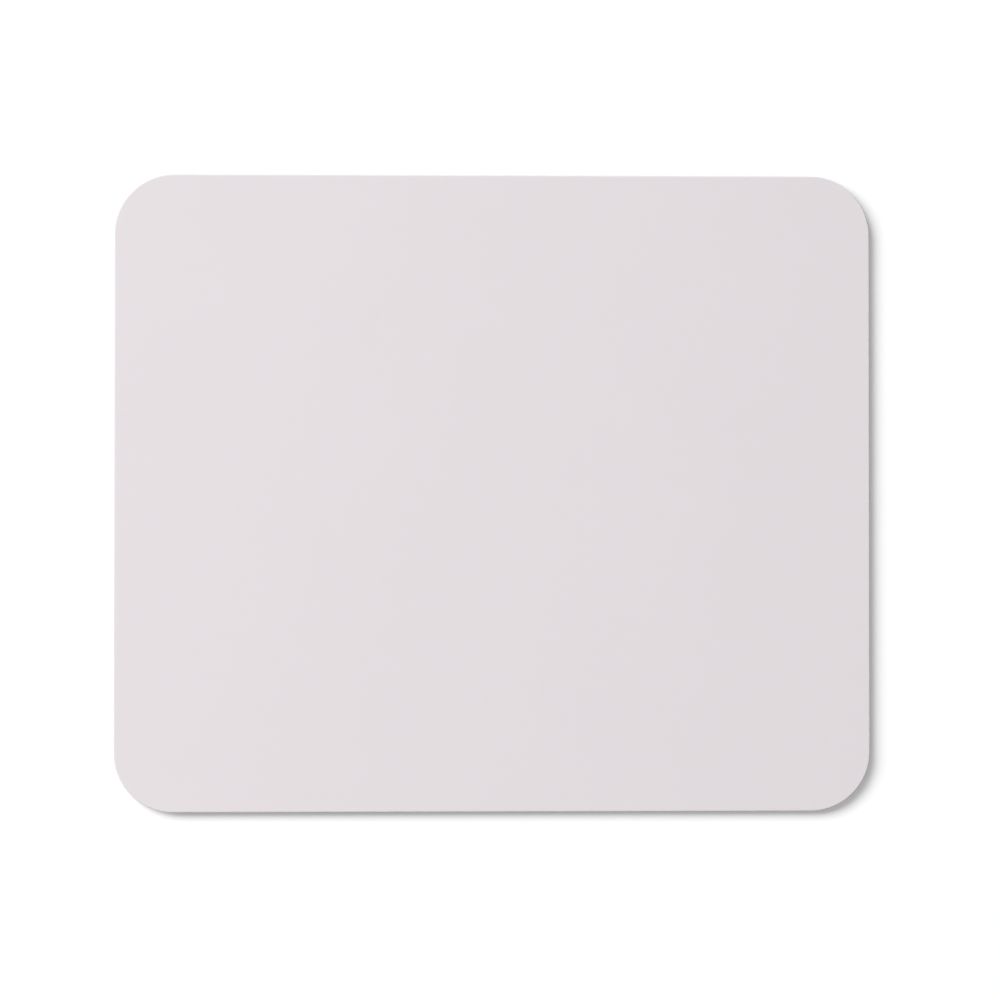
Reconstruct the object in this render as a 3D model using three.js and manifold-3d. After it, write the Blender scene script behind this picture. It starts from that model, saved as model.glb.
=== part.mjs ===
// Cloth-faced mouse pad, in millimetres with +Z up.
// The origin lies on the desk, under the middle of the pad, with the long sides along X.
//
// The pad is a laminate of three layers that one stroke of a die cuts to outline: a knitted polyester face,
// a film of hot-melt adhesive, and a foam-rubber base with a grip tread pressed into its underside.
// Each layer is its own closed solid, and the layers meet face to face where they are bonded.

import * as THREE from "three";
import { toCreasedNormals } from "three/addons/utils/BufferGeometryUtils.js";
import Module from "manifold-3d";

// Outline of the cutting die.
const padWidth = 241.3; // 9 1/2 in, along X
const padDepth = 203.2; // 8 in, along Y
const cornerRadius = 19.05; // 3/4 in

// Layers, from the desk up: 3.2 mm in all, the usual 1/8 in pad.
const baseThickness = 2.7;
const bondThickness = 0.1;
const clothThickness = 0.4;

// What the die leaves along the cut: the cloth is drawn down over its edge, and the foam springs back hollow.
const clothShoulder = 0.35; // radius of the cloth's rounded edge
const wallHollow = 0.25; // depth of the hollow, at its middle
const wallFoot = 0.15; // straight wall left between the grooves and the hollow

// Grip tread: flat-floored grooves that zigzag side by side across the underside and run out through the cut.
const groovePitch = 5; // from groove to groove, along Y
const grooveMouth = 1.4; // width of a groove at the desk
const grooveFloor = 0.6; // width of a groove at its floor
const grooveDepth = 0.5;
const zigzagRun = 9; // from bend to bend, along X
const zigzagRise = 5; // how far a groove swings along Y from bend to bend

// Finish of each layer.
const foamFinish = { color: 0x1d1d1e, roughness: 0.88, metalness: 0 };
const bondFinish = { color: 0xcfcbc3, roughness: 0.6, metalness: 0 };
const clothFinish = { color: 0xe2dde0, roughness: 0.92, metalness: 0 };

// How finely curves are drawn.
const cornerSteps = 12; // chords in each corner
const sideSteps = 7; // lengths that each straight side is drawn in
const shoulderSteps = 4; // chords over the cloth's rounded edge
const wallSteps = 6; // chords up the hollow wall
const creaseAngle = THREE.MathUtils.degToRad(30); // edges sharper than this stay sharp when shaded

// Heights that neighbouring pieces share.
const deskLevel = 0;
const treadFloor = deskLevel + grooveDepth;
const baseTop = deskLevel + baseThickness;
const bondTop = baseTop + bondThickness;
const clothTop = bondTop + clothThickness;

const wasm = await Module();
wasm.setup();

// The die's outline at a height, drawn in by an inset, anticlockwise from the end of the right side.
// Each corner is an arc about the same centre at every inset.
function outline(inset, z) {
  const x = padWidth / 2 - cornerRadius;
  const y = padDepth / 2 - cornerRadius;
  const radius = cornerRadius - inset;
  const centres = [[x, y], [-x, y], [-x, -y], [x, -y]];
  const corners = centres.map(([centreX, centreY], quarter) => {
    const start = (quarter * Math.PI) / 2;
    const arc = new THREE.EllipseCurve(centreX, centreY, radius, radius, start, start + Math.PI / 2);
    return arc.getPoints(cornerSteps);
  });
  const points = corners.flatMap((corner, quarter) => {
    const nextCorner = corners[(quarter + 1) % corners.length];
    const side = new THREE.LineCurve(corner.at(-1), nextCorner[0]);
    return [...corner, ...side.getPoints(sideSteps).slice(1, -1)];
  });
  return points.map((point) => new THREE.Vector3(point.x, point.y, z));
}

// A closed solid through rings of equally many points, with a fan of triangles over each end.
// Seen from the last ring, every ring runs anticlockwise.
function loft(rings) {
  const count = rings[0].length;
  const lastRing = (rings.length - 1) * count;
  const sumOf = (ring) => ring.reduce((sum, point) => sum.add(point), new THREE.Vector3());
  const middle = (ring) => sumOf(ring).divideScalar(count);
  const points = [...rings.flat(), middle(rings[0]), middle(rings.at(-1))];
  const firstMiddle = lastRing + count;
  const lastMiddle = firstMiddle + 1;
  const index = [];
  for (let i = 0; i < count; i++) {
    const next = (i + 1) % count;
    index.push(firstMiddle, next, i);
    index.push(lastMiddle, lastRing + i, lastRing + next);
    for (let low = 0; low < lastRing; low += count) {
      const high = low + count;
      index.push(low + i, low + next, high + next);
      index.push(low + i, high + next, high + i);
    }
  }
  return new THREE.BufferGeometry().setFromPoints(points).setIndex(index);
}

function toSolid(geometry) {
  const vertProperties = geometry.attributes.position.array;
  const triVerts = new Uint32Array(geometry.index.array);
  return new wasm.Manifold(new wasm.Mesh({ numProp: 3, vertProperties, triVerts }));
}

function toGeometry(solid) {
  const { vertProperties, triVerts } = solid.getMesh();
  const geometry = new THREE.BufferGeometry();
  geometry.setAttribute("position", new THREE.BufferAttribute(vertProperties, 3));
  return geometry.setIndex(new THREE.BufferAttribute(triVerts, 1));
}

// A cutter for one groove, which zigzags along X from a bend at the origin to past both ends of the pad.
// Its flanks run on as far below the desk as they rise above it.
function grooveCutter() {
  const stretch = Math.hypot(zigzagRun, zigzagRise) / zigzagRun; // of a leg's width, when measured along Y
  const halfFloor = (grooveFloor / 2) * stretch;
  const halfFoot = (grooveMouth - grooveFloor / 2) * stretch;
  const section = [
    [-halfFoot, deskLevel - grooveDepth],
    [halfFoot, deskLevel - grooveDepth],
    [halfFloor, treadFloor],
    [-halfFloor, treadFloor],
  ];
  const legs = Math.ceil(padWidth / 2 / zigzagRun);
  const rings = [];
  for (let bend = -legs; bend <= legs; bend++) {
    const swing = bend % 2 ? zigzagRise : 0;
    rings.push(section.map(([across, z]) => new THREE.Vector3(bend * zigzagRun, across + swing, z)));
  }
  return loft(rings);
}

// Cuts the grooves at even steps to either side of the middle, which leaves a land over the origin.
function cutTread(slab) {
  const cutter = grooveCutter();
  const perSide = Math.ceil((padDepth / 2 + zigzagRise) / groovePitch);
  let cut = slab;
  for (let groove = -perSide; groove < perSide; groove++) {
    const placed = cutter.clone().translate(0, (groove + 0.5) * groovePitch, 0);
    cut = cut.subtract(toSolid(placed));
  }
  return cut;
}

// The wall stands straight past the grooves, so that each land keeps its whole root, and is hollow above them.
function rubberBase() {
  const rings = [outline(0, deskLevel)];
  const hollowFoot = treadFloor + wallFoot;
  for (let i = 0; i <= wallSteps; i++) {
    const rise = i / wallSteps;
    const inset = wallHollow * Math.sin(Math.PI * rise);
    rings.push(outline(inset, THREE.MathUtils.lerp(hollowFoot, baseTop, rise)));
  }
  return toGeometry(cutTread(toSolid(loft(rings))));
}

function bondFilm() {
  return loft([outline(0, baseTop), outline(0, bondTop)]);
}

function clothFace() {
  const radius = Math.min(clothShoulder, clothThickness);
  const rings = [outline(0, bondTop)];
  for (let i = 0; i <= shoulderSteps; i++) {
    const turn = (i / shoulderSteps) * (Math.PI / 2);
    const inset = radius * (1 - Math.cos(turn));
    rings.push(outline(inset, clothTop - radius * (1 - Math.sin(turn))));
  }
  return loft(rings);
}

// One named mesh for a layer, shaded with crisp edges.
function layer(name, geometry, finish) {
  const material = new THREE.MeshStandardMaterial(finish);
  const mesh = new THREE.Mesh(toCreasedNormals(geometry, creaseAngle), material);
  mesh.name = name;
  return mesh;
}

const pad = new THREE.Group();
pad.name = "mouse_pad";
pad.add(layer("rubber_base", rubberBase(), foamFinish));
pad.add(layer("bond_film", bondFilm(), bondFinish));
pad.add(layer("cloth_face", clothFace(), clothFinish));

export default pad;
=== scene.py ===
import math
import bpy
import bmesh
from bmesh.types import BMVert, BMEdge, BMFace
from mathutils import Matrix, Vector, noise


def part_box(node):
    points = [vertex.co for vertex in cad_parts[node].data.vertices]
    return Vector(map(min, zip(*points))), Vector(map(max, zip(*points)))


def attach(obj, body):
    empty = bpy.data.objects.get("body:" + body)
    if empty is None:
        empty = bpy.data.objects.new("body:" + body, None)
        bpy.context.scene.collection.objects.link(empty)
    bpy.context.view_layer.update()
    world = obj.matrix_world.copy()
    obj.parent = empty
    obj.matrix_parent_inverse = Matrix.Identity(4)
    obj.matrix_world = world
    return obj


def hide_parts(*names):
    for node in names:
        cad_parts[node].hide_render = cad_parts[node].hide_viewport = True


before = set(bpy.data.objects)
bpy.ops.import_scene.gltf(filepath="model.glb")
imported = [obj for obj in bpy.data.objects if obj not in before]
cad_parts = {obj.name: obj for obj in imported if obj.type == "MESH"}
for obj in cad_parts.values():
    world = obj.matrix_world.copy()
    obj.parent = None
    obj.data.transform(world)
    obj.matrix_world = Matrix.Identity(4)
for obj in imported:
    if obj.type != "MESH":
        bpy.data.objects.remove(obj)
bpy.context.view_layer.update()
mm = 0.001  # meshes are modelled in millimetres and scaled to metres at the end
snap = 1e-4  # places nearer to each other than this, in mm, count as one


def boxOf(node):
    low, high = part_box(node)
    return [v / mm for v in low], [v / mm for v in high]


# The die that cuts all three layers in one stroke, in mm
clothLow, clothHigh = boxOf("cloth_face")
bondLow, bondHigh = boxOf("bond_film")
foamLow, foamHigh = boxOf("rubber_base")
die = {
    "width": clothHigh[0] - clothLow[0],
    "depth": clothHigh[1] - clothLow[1],
    "corner": 19.05, "cornerSteps": 24,  # radius, and how many straight cuts stand for its arc
}


# Mesh helpers
def cutFace(bm, z):
    # one flat face with the die's outline
    corners = bmesh.ops.create_grid(bm, x_segments=1, y_segments=1, size=0.5)["verts"]
    bmesh.ops.scale(bm, vec=(die["width"], die["depth"], 1), verts=corners)
    bmesh.ops.translate(bm, vec=(0, 0, z), verts=corners)
    bmesh.ops.bevel(bm, geom=corners, offset=die["corner"], offset_type="OFFSET", affect="VERTICES",
                    segments=die["cornerSteps"], profile=0.5, material=-1)
    return bm.faces[:]


def cornerCentre(co):
    # nearest point of the straight-sided core, which the corner arcs turn about
    x = die["width"] / 2 - die["corner"]
    y = die["depth"] / 2 - die["corner"]
    return Vector((max(-x, min(x, co.x)), max(-y, min(y, co.y)), co.z))


def edgeDistance(co):
    # how far a point lies inside the outline, up to the corner radius
    return die["corner"] - (co - cornerCentre(co)).length


def drawIn(vert, inset):
    # moves a vertex of the outline square in from it
    vert.co -= (vert.co - cornerCentre(vert.co)).normalized() * inset


def waver(co, length):
    # smooth noise from 0 to 1 that comes and goes over the given length
    return 0.5 + 0.5 * noise.noise(co / length)


def everything(bm):
    return bm.verts[:] + bm.edges[:] + bm.faces[:]


def only(kind, geom):
    return [g for g in geom if isinstance(g, kind)]


def raised(bm, faces, height):
    # extrudes flat faces straight up and returns the new upper ones
    made = bmesh.ops.extrude_face_region(bm, geom=faces)["geom"]
    bmesh.ops.translate(bm, vec=(0, 0, height), verts=only(BMVert, made))
    return only(BMFace, made)


def extruded(bm, edges, z):
    # extrudes a ring of edges to the given height, and returns the new vertices and the new ring
    made = bmesh.ops.extrude_edge_only(bm, edges=edges)["geom"]
    verts = set(only(BMVert, made))
    for v in verts:
        v.co.z = z
    ring = [e for e in only(BMEdge, made) if verts.issuperset(e.verts)]
    return verts, ring


def finishPiece(bm, name, material, node, sharpAngle):
    bmesh.ops.recalc_face_normals(bm, faces=bm.faces)
    manySided = [f for f in bm.faces if len(f.verts) > 4]
    bmesh.ops.triangulate(bm, faces=manySided, ngon_method="BEAUTY")
    for face in bm.faces:
        face.smooth = True
    for edge in bm.edges:
        edge.smooth = edge.calc_face_angle(0) < math.radians(sharpAngle)
    bmesh.ops.scale(bm, vec=(mm, mm, mm), verts=bm.verts)
    mesh = bpy.data.meshes.new(name)
    bm.to_mesh(mesh)
    bm.free()
    mesh.materials.append(material)
    piece = bpy.data.objects.new(name, mesh)
    bpy.context.scene.collection.objects.link(piece)
    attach(piece, "root")
    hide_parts(node)
    print(name, len(mesh.vertices), "vertices")
    return piece


# Shader helpers
def newMaterial(name):
    material = bpy.data.materials.new(name)
    material.use_nodes = True
    tree = material.node_tree
    return material, tree, tree.nodes["Principled BSDF"]


def setInputs(tree, node, inputs):
    for key, value in inputs.items():
        if isinstance(value, bpy.types.NodeSocket):
            tree.links.new(value, node.inputs[key])
        else:
            node.inputs[key].default_value = value


def addNode(tree, kind, inputs=None, **settings):
    node = tree.nodes.new(kind)
    for key, value in settings.items():
        setattr(node, key, value)
    setInputs(tree, node, inputs or {})
    return node


def maths(tree, operation, a, b=0.0, c=0.0):
    return addNode(tree, "ShaderNodeMath", {0: a, 1: b, 2: c}, operation=operation).outputs[0]


def vectors(tree, operation, *values):
    inputs = dict(enumerate(values))
    return addNode(tree, "ShaderNodeVectorMath", inputs, operation=operation).outputs["Vector"]


def axesOf(tree, vector):
    return addNode(tree, "ShaderNodeSeparateXYZ", {0: vector}).outputs


def cloudy(tree, place, scale, detail):
    return addNode(tree, "ShaderNodeTexNoise", {"Vector": place, "Scale": scale, "Detail": detail}).outputs


def ramp(tree, value, source, target=(0.0, 1.0)):
    inputs = {
        "Value": value,
        "From Min": source[0], "From Max": source[1],
        "To Min": target[0], "To Max": target[1],
    }
    return addNode(tree, "ShaderNodeMapRange", inputs, interpolation_type="SMOOTHSTEP").outputs["Result"]


def blendColour(tree, factor, first, second):
    # the mix node's inputs 6 and 7 are its two colours, and output 2 is their mix
    inputs = {"Factor": factor, 6: first, 7: second}
    return addNode(tree, "ShaderNodeMix", inputs, data_type="RGBA").outputs[2]


def bump(tree, height, distance):
    inputs = {"Height": height, "Strength": 1.0, "Distance": distance}
    return addNode(tree, "ShaderNodeBump", inputs).outputs["Normal"]


# White polyester knit: lengths in mm, scales in waves to the metre, the rest in shares
knit = {
    "wale": 0.5, "course": 0.42,  # pitch of the stitches, across and along their columns
    "lean": 0.9,  # how far each leg of a stitch leans, in courses
    "relief": 0.018,  # height of a stitch
    "loopDip": 0.6,  # how far a leg sinks between two stitches, against its height
    "fuzz": 0.3, "fuzzScale": 9000.0,  # height of the fibres, against that of a stitch
    "wander": 0.48, "wanderLength": 2.2,  # how far the yarns stray from true
    "light": (0.787, 0.742, 0.7655, 1), "shade": (0.746, 0.7035, 0.727, 1),
    "leastTone": 0.1, "stitchShade": 0.5, "cloudTone": 0.3, "cloudScale": 25.0,  # what makes a spot light: the stitch height paints shade into the valleys, and a random cloud adds tone
    "heights": (0.2, 1.1), "roughness": (0.98, 0.86),  # from the valleys to the crests
    "gloss": 0.25, "sheen": 0.06, "sheenRoughness": 0.5,
}


def knitMaterial():
    material, tree, shader = newMaterial("whiteKnit")
    place = addNode(tree, "ShaderNodeTexCoord").outputs["Object"]
    stray = cloudy(tree, place, 1 / (knit["wanderLength"] * mm), detail=1.0)["Color"]
    yarns = vectors(tree, "MULTIPLY_ADD", stray, (knit["wander"] * mm,) * 3, place)
    pitch = (1 / (knit["wale"] * mm), 1 / (knit["course"] * mm), 1)
    axes = axesOf(tree, vectors(tree, "MULTIPLY", yarns, pitch))
    # each column of stitches is a row of Vs, with a round leg on either side of its middle
    column = maths(tree, "SUBTRACT", maths(tree, "FRACT", axes["X"]), 0.5)
    fromMiddle = maths(tree, "MULTIPLY", maths(tree, "ABSOLUTE", column), 2.0)
    leg = maths(tree, "SINE", maths(tree, "MULTIPLY", fromMiddle, math.pi))
    climb = maths(tree, "MULTIPLY_ADD", fromMiddle, knit["lean"], axes["Y"])
    loop = maths(tree, "ABSOLUTE", maths(tree, "SINE", maths(tree, "MULTIPLY", climb, math.pi)))
    crest = maths(tree, "MULTIPLY_ADD", loop, knit["loopDip"], 1 - knit["loopDip"])
    fibre = cloudy(tree, place, knit["fuzzScale"], detail=2.0)["Fac"]
    height = maths(tree, "MULTIPLY_ADD", fibre, knit["fuzz"], maths(tree, "MULTIPLY", leg, crest))
    cloud = cloudy(tree, place, knit["cloudScale"], detail=3.0)["Fac"]
    # painted shade: the colour is darker in the valleys between stitches and lighter on their crests, mixed
    # with a random cloudy tone
    shadeAndTone = maths(tree, "MULTIPLY_ADD", height, knit["stitchShade"], knit["leastTone"])
    shadeAndTone = maths(tree, "MULTIPLY_ADD", cloud, knit["cloudTone"], shadeAndTone)
    setInputs(tree, shader, {
        "Base Color": blendColour(tree, shadeAndTone, knit["shade"], knit["light"]),
        "Roughness": ramp(tree, height, knit["heights"], knit["roughness"]),
        "Normal": bump(tree, height, knit["relief"] * mm),
        "Specular IOR Level": knit["gloss"],
        "Sheen Weight": knit["sheen"],
        "Sheen Roughness": knit["sheenRoughness"],
    })
    return material


# Face cloth, in mm: its cut edge is drawn down over a small radius, and its face is very slightly uneven
cloth = {
    "shoulder": 0.35, "shoulderSteps": 5,
    "cell": 4.0,  # width of the cells of the mesh
    "unevenness": 0.05, "unevenLength": 45.0,
    "sharpAngle": 40,
}


def faceCloth(material):
    bm = bmesh.new()
    wallTop = clothHigh[2] - cloth["shoulder"]
    top = raised(bm, cutFace(bm, clothLow[2]), wallTop - clothLow[2])
    turns = [math.pi / 2 * i / cloth["shoulderSteps"] for i in range(cloth["shoulderSteps"] + 1)]
    for a, b in zip(turns, turns[1:]):
        inset = cloth["shoulder"] * (math.cos(a) - math.cos(b))
        lift = cloth["shoulder"] * (math.sin(b) - math.sin(a))
        bmesh.ops.inset_region(bm, faces=top, thickness=inset, depth=lift, use_even_offset=True)
    # a narrow border keeps the face flat up to the shoulder
    bmesh.ops.inset_region(bm, faces=top, thickness=cloth["shoulder"], use_even_offset=True)
    # cut the cloth into cells
    for size, normal in ((die["width"], Vector((1, 0, 0))), (die["depth"], Vector((0, 1, 0)))):
        steps = round(size / cloth["cell"])
        for i in range(1, steps):
            place = normal * (i / steps - 0.5) * size
            bmesh.ops.bisect_plane(bm, geom=everything(bm), plane_co=place, plane_no=normal, dist=snap)
    for v in bm.verts:
        if v.co.z > clothHigh[2] - snap:
            fade = edgeDistance(v.co) / die["corner"]
            v.co.z -= cloth["unevenness"] * fade * waver(v.co, cloth["unevenLength"])
    return finishPiece(bm, "faceCloth", material, "cloth_face", cloth["sharpAngle"])


# Hot-melt film, seen only as a line along the cut: lengths in mm
bond = {
    "waver": 0.12, "waverLength": 6.0, "step": 2.5,  # how its edge wavers in and out
    "light": (0.58, 0.56, 0.53, 1), "shade": (0.44, 0.42, 0.39, 1),
    "cloudScale": 400.0,  # waves to the metre
    "roughness": 0.5,
    "sharpAngle": 40,
}


def bondMaterial():
    material, tree, shader = newMaterial("hotMeltFilm")
    place = addNode(tree, "ShaderNodeTexCoord").outputs["Object"]
    cloud = cloudy(tree, place, bond["cloudScale"], detail=2.0)["Fac"]
    setInputs(tree, shader, {
        "Base Color": blendColour(tree, cloud, bond["shade"], bond["light"]),
        "Roughness": bond["roughness"],
    })
    return material


def bondFilm(material):
    bm = bmesh.new()
    cutFace(bm, bondLow[2])
    straights = [e for e in bm.edges if e.calc_length() > die["corner"]]  # all but the arcs
    for side in straights:
        bmesh.ops.subdivide_edges(bm, edges=[side], cuts=round(side.calc_length() / bond["step"]))
    raised(bm, bm.faces[:], bondHigh[2] - bondLow[2])
    for v in bm.verts:
        drawIn(v, bond["waver"] * waver(v.co, bond["waverLength"]))
    return finishPiece(bm, "bondFilm", material, "bond_film", bond["sharpAngle"])


# Black foam rubber: lengths in mm, scales in waves to the metre, the rest in shares.
# Cells are laid open along the cut, and the moulded skin has the print of a fine cloth.
foam = {
    "cell": 0.34, "cellShare": 0.5, "cellDepth": 0.09,  # size, how many are laid open, and depth
    "fineCell": 0.15, "fineShare": 0.6, "fineDepth": 0.5,  # small ones, with a share of that depth
    "pit": (0.08, 0.46),  # floor and rim of an open cell, from its middle
    "cutFacing": (0.3, 0.75),  # how far a face looks up or down, from cut wall to moulded skin
    "printPitch": 0.7, "printDepth": 0.03,
    "grainDepth": 0.02, "grainScale": 6000.0, "cloudScale": 45.0,
    "dark": (0.008, 0.008, 0.009, 1), "light": (0.030, 0.030, 0.032, 1),
    "grainTone": 0.5, "cloudTone": 0.5, "pitShade": -0.5,  # what makes a spot light: random grain and cloud, and painted shade darkening the open cells
    "rubbed": (0.058, 0.058, 0.059, 1),
    "rubHeight": (0.02, 0.2),  # where the rubbing fades out, above the desk
    "rubPatches": (0.35, 0.7), "rubShare": (0.15, 0.75),
    "shinePatches": (0.3, 0.7), "roughness": (0.68, 0.86),
}


def openCells(tree, place, size, share):
    # round pits, in the given share of the cells
    inputs = {"Vector": place, "Scale": 1 / (size * mm)}
    cells = addNode(tree, "ShaderNodeTexVoronoi", inputs, feature="F1").outputs
    pit = ramp(tree, cells["Distance"], foam["pit"], (1.0, 0.0))
    chance = addNode(tree, "ShaderNodeSeparateColor", {0: cells["Color"]}).outputs[0]
    return maths(tree, "MULTIPLY", pit, maths(tree, "LESS_THAN", chance, share))


def foamMaterial():
    material, tree, shader = newMaterial("blackFoamRubber")
    coords = addNode(tree, "ShaderNodeTexCoord").outputs
    place = coords["Object"]
    axes = axesOf(tree, place)
    facing = maths(tree, "ABSOLUTE", axesOf(tree, coords["Normal"])["Z"])
    cut = ramp(tree, facing, foam["cutFacing"], (1.0, 0.0))
    fineCells = openCells(tree, place, foam["fineCell"], foam["fineShare"])
    cells = openCells(tree, place, foam["cell"], foam["cellShare"])
    pits = maths(tree, "MULTIPLY", maths(tree, "MULTIPLY_ADD", fineCells, foam["fineDepth"], cells), cut)
    turns = 2 * math.pi / (foam["printPitch"] * mm)
    warp = maths(tree, "SINE", maths(tree, "MULTIPLY", axes["X"], turns))
    weft = maths(tree, "SINE", maths(tree, "MULTIPLY", axes["Y"], turns))
    moulded = maths(tree, "SUBTRACT", 1.0, cut)
    threads = maths(tree, "MULTIPLY", maths(tree, "MULTIPLY", warp, weft), moulded)
    grain = cloudy(tree, place, foam["grainScale"], detail=3.0)["Fac"]
    cloud = cloudy(tree, place, foam["cloudScale"], detail=5.0)["Fac"]
    shadeAndTone = maths(tree, "MULTIPLY", cloud, foam["cloudTone"])
    shadeAndTone = maths(tree, "MULTIPLY_ADD", grain, foam["grainTone"], shadeAndTone)
    # painted shade: the open cells are coloured darker
    shadeAndTone = maths(tree, "MULTIPLY_ADD", pits, foam["pitShade"], shadeAndTone)
    skin = blendColour(tree, shadeAndTone, foam["dark"], foam["light"])
    # the lands that lie on the desk are rubbed a little grey
    land = ramp(tree, axes["Z"], [height * mm for height in foam["rubHeight"]], (1.0, 0.0))
    rub = maths(tree, "MULTIPLY", land, ramp(tree, cloud, foam["rubPatches"], foam["rubShare"]))
    # the relief is a height in metres
    relief = maths(tree, "MULTIPLY", threads, foam["printDepth"] / 2 * mm)
    relief = maths(tree, "MULTIPLY_ADD", grain, foam["grainDepth"] * mm, relief)
    relief = maths(tree, "MULTIPLY_ADD", pits, -foam["cellDepth"] * mm, relief)
    setInputs(tree, shader, {
        "Base Color": blendColour(tree, rub, skin, foam["rubbed"]),
        "Roughness": ramp(tree, cloud, foam["shinePatches"], foam["roughness"]),
        "Normal": bump(tree, relief, 1.0),
    })
    return material


# Foam-rubber base, in mm: a zigzag tread below, and a cut wall that springs back hollow
base = {
    "groovePitch": 5.0, "grooveMouth": 1.4, "grooveFloor": 0.6, "grooveDepth": 0.5,
    "legRun": 9.0, "legRise": 5.0, "legSteps": 6,  # one leg of the zigzag
    "bendPasses": 4,  # how often the bends are smoothed
    "lip": 0.12, "lipSteps": 2,  # rounding along the edges of the lands
    "crumb": 0.015,  # cuts that lie closer together than this become one
    "wallFoot": 0.15,  # plain wall left above the grooves
    "wallHollow": 0.25, "wallSteps": 8,
    "sharpAngle": 30,
}


def zigzagTread(bm):
    # a grooved sheet that reaches past the outline, with its lands on the desk
    legs = math.ceil(die["width"] / 2 / base["legRun"])
    rows = math.ceil((die["depth"] / 2 + base["legRise"]) / base["groovePitch"])
    columns, lines = 2 * legs * base["legSteps"], 2 * rows + 1
    bmesh.ops.create_grid(bm, x_segments=columns, y_segments=lines, size=0.5)
    bmesh.ops.scale(bm, vec=(2 * legs * base["legRun"], lines * base["groovePitch"], 1), verts=bm.verts)
    grooves = [e for e in bm.edges if abs(e.verts[0].co.y - e.verts[1].co.y) < snap and not e.is_boundary]
    for v in bm.verts:
        v.co.y += base["legRise"] * abs((v.co.x / base["legRun"] + 1) % 2 - 1)
    inner = [v for v in bm.verts if not v.is_boundary]
    for i in range(base["bendPasses"]):
        bmesh.ops.smooth_vert(bm, verts=inner, factor=0.5, use_axis_y=True)
    strips = bmesh.ops.bevel(bm, geom=grooves, offset=base["grooveMouth"] / 2, offset_type="OFFSET",
                             affect="EDGES", segments=1, profile=0.5, material=-1, loop_slide=True)["faces"]
    flank = (base["grooveMouth"] - base["grooveFloor"]) / 2
    flanks = set(bmesh.ops.inset_region(bm, faces=strips, thickness=flank, depth=base["grooveDepth"],
                                        use_even_offset=True)["faces"])
    rims = [e for e in bm.edges if {f in flanks for f in e.link_faces} == {True, False}]
    lips = [e for e in rims if max(v.co.z for v in e.verts) < snap]
    bmesh.ops.bevel(bm, geom=lips, offset=base["lip"], offset_type="OFFSET", affect="EDGES",
                    segments=base["lipSteps"], profile=0.5, material=-1)
    print("tread", len(bm.faces), "faces")


def trimToDie(bm):
    halfWidth, halfDepth = die["width"] / 2, die["depth"] / 2
    for x, y in ((1, 0), (-1, 0), (0, 1), (0, -1)):
        side = (x * halfWidth, y * halfDepth, 0)
        bmesh.ops.bisect_plane(bm, geom=everything(bm), plane_co=side, plane_no=(x, y, 0),
                               clear_outer=True, dist=snap)
    step = math.pi / 2 / die["cornerSteps"]
    for x, y in ((1, 1), (1, -1), (-1, 1), (-1, -1)):
        centre = Vector((x * (halfWidth - die["corner"]), y * (halfDepth - die["corner"]), 0))
        for i in range(die["cornerSteps"]):
            turn = (i + 0.5) * step
            normal = Vector((x * math.cos(turn), y * math.sin(turn), 0))
            chord = centre + normal * die["corner"] * math.cos(step / 2)
            beyond = [v for v in bm.verts if (v.co.x - centre.x) * x > 0 and (v.co.y - centre.y) * y > 0]
            faces = dict.fromkeys(f for v in beyond for f in v.link_faces)
            geom = dict.fromkeys(g for f in faces for g in (f, *f.edges, *f.verts))  # each once, in order
            bmesh.ops.bisect_plane(bm, geom=list(geom), plane_co=chord, plane_no=normal,
                                   clear_outer=True, dist=snap)
    bmesh.ops.dissolve_degenerate(bm, dist=base["crumb"], edges=bm.edges)
    print("trimmed", len(bm.faces), "faces")


def cutWall(bm):
    ring = [e for e in bm.edges if e.is_boundary]
    foot = foamLow[2] + base["grooveDepth"] + base["wallFoot"]
    drawn = 0  # how far in the ring already is
    for i in range(base["wallSteps"] + 1):
        share = i / base["wallSteps"]
        verts, ring = extruded(bm, ring, foot + (foamHigh[2] - foot) * share)
        hollow = base["wallHollow"] * math.sin(math.pi * share)
        for v in verts:
            drawIn(v, hollow - drawn)
        drawn = hollow
    bmesh.ops.contextual_create(bm, geom=ring)  # the upper face, against the film


def foamBase(material):
    bm = bmesh.new()
    zigzagTread(bm)
    trimToDie(bm)
    cutWall(bm)
    return finishPiece(bm, "foamBase", material, "rubber_base", base["sharpAngle"])


clothPiece = faceCloth(knitMaterial())
bondFilm(bondMaterial())
foamPiece = foamBase(foamMaterial())
print("pieces made")

# Studio, in metres: white floor, even fill from all round, and a broad softbox at the back left,
# turned past the front of the pad so that its light falls evenly from back to front
studio = {
    "floorRadius": 6.0, "floorSides": 96, "floorDrop": 0.02 * mm,
    "paper": (0.83, 0.83, 0.83, 1), "paperGlow": 0.24,  # the glow lifts it to white for the camera
    "fadeToWhite": (0.2, 0.45),  # how far from the middle the floor loses its last shade
    "fill": 0.27,
    "keyPower": 382.0, "keyWidth": 5.0, "keyHeight": 2.6,
    "keyPlace": (-3.55, 1.55, 3.0), "keyAim": (-1.1, -7.0, 0),
}
white = (1, 1, 1, 1)


def seenRays(tree):
    # 1 for what the camera sees, also in a reflection or through glass, and 0 for what only gives light
    rays = addNode(tree, "ShaderNodeLightPath").outputs
    passedOn = maths(tree, "MAXIMUM", rays["Is Glossy Ray"], rays["Is Transmission Ray"])
    return maths(tree, "MAXIMUM", rays["Is Camera Ray"], passedOn)


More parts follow.
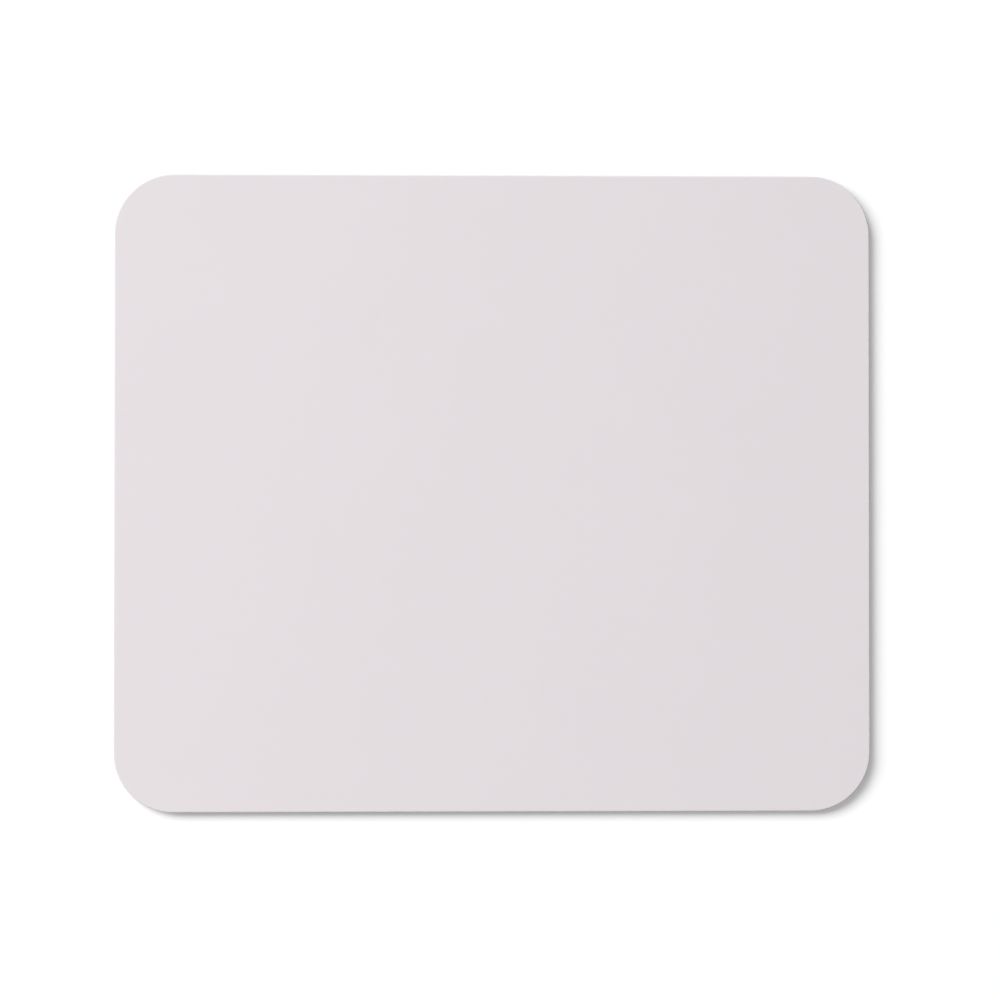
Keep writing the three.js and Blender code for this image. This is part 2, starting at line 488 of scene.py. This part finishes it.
def floorMaterial():
    material, tree, shader = newMaterial("floorPaper")
    seen = seenRays(tree)
    setInputs(tree, shader, {
        "Base Color": studio["paper"],
        "Roughness": 1.0,
        "Specular IOR Level": 0.0,
        "Emission Color": white,
        "Emission Strength": maths(tree, "MULTIPLY", seen, studio["paperGlow"]),
    })
    place = addNode(tree, "ShaderNodeTexCoord").outputs["Object"]
    away = addNode(tree, "ShaderNodeVectorMath", {0: place}, operation="LENGTH").outputs["Value"]
    far = maths(tree, "MULTIPLY", ramp(tree, away, studio["fadeToWhite"]), seen)
    plain = addNode(tree, "ShaderNodeEmission", {"Color": white})
    mixed = addNode(tree, "ShaderNodeMixShader", {0: far, 1: shader.outputs[0], 2: plain.outputs[0]})
    setInputs(tree, tree.nodes["Material Output"], {"Surface": mixed.outputs[0]})
    return material


def whiteFloor():
    bm = bmesh.new()
    bmesh.ops.create_circle(bm, cap_ends=True, segments=studio["floorSides"], radius=studio["floorRadius"])
    mesh = bpy.data.meshes.new("studioFloor")
    bm.to_mesh(mesh)
    bm.free()
    mesh.materials.append(floorMaterial())
    floor = bpy.data.objects.new("studioFloor", mesh)
    floor.location.z = -studio["floorDrop"]
    bpy.context.scene.collection.objects.link(floor)


def fillLight():
    world = bpy.data.worlds.new("studio")
    bpy.context.scene.world = world
    world.use_nodes = True
    tree = world.node_tree
    strength = maths(tree, "MULTIPLY_ADD", seenRays(tree), 1 - studio["fill"], studio["fill"])
    setInputs(tree, tree.nodes["Background"], {"Color": white, "Strength": strength})


def softbox():
    key = bpy.data.lights.new("softbox", "AREA")
    key.shape = "RECTANGLE"
    key.size, key.size_y = studio["keyWidth"], studio["keyHeight"]
    key.energy = studio["keyPower"]
    lamp = bpy.data.objects.new("softbox", key)
    lamp.location = studio["keyPlace"]
    away = Vector(studio["keyPlace"]) - Vector(studio["keyAim"])
    lamp.rotation_euler = away.to_track_quat("Z", "Y").to_euler()
    lamp.visible_camera = False
    bpy.context.scene.collection.objects.link(lamp)


# Camera, almost straight above the pad
view = {
    "lens": 85, "sensor": 36,
    "place": (-14.6, -10.2), "height": 753.2,  # mm from the middle of the pad, and above its cloth
    "turn": (0.61, -1.28, 0.01),  # degrees
    "nearest": 0.01, "furthest": 50,  # metres
}


def overheadCamera():
    data = bpy.data.cameras.new("overhead")
    data.lens, data.sensor_width = view["lens"], view["sensor"]
    data.clip_start, data.clip_end = view["nearest"], view["furthest"]
    camera = bpy.data.objects.new("overhead", data)
    camera.location = Vector((*view["place"], clothHigh[2] + view["height"])) * mm
    camera.rotation_euler = [math.radians(angle) for angle in view["turn"]]
    bpy.context.scene.collection.objects.link(camera)
    bpy.context.scene.camera = camera


whiteFloor()
fillLight()
softbox()
overheadCamera()
bpy.context.scene.view_settings.view_transform = "Standard"
print("studio ready")
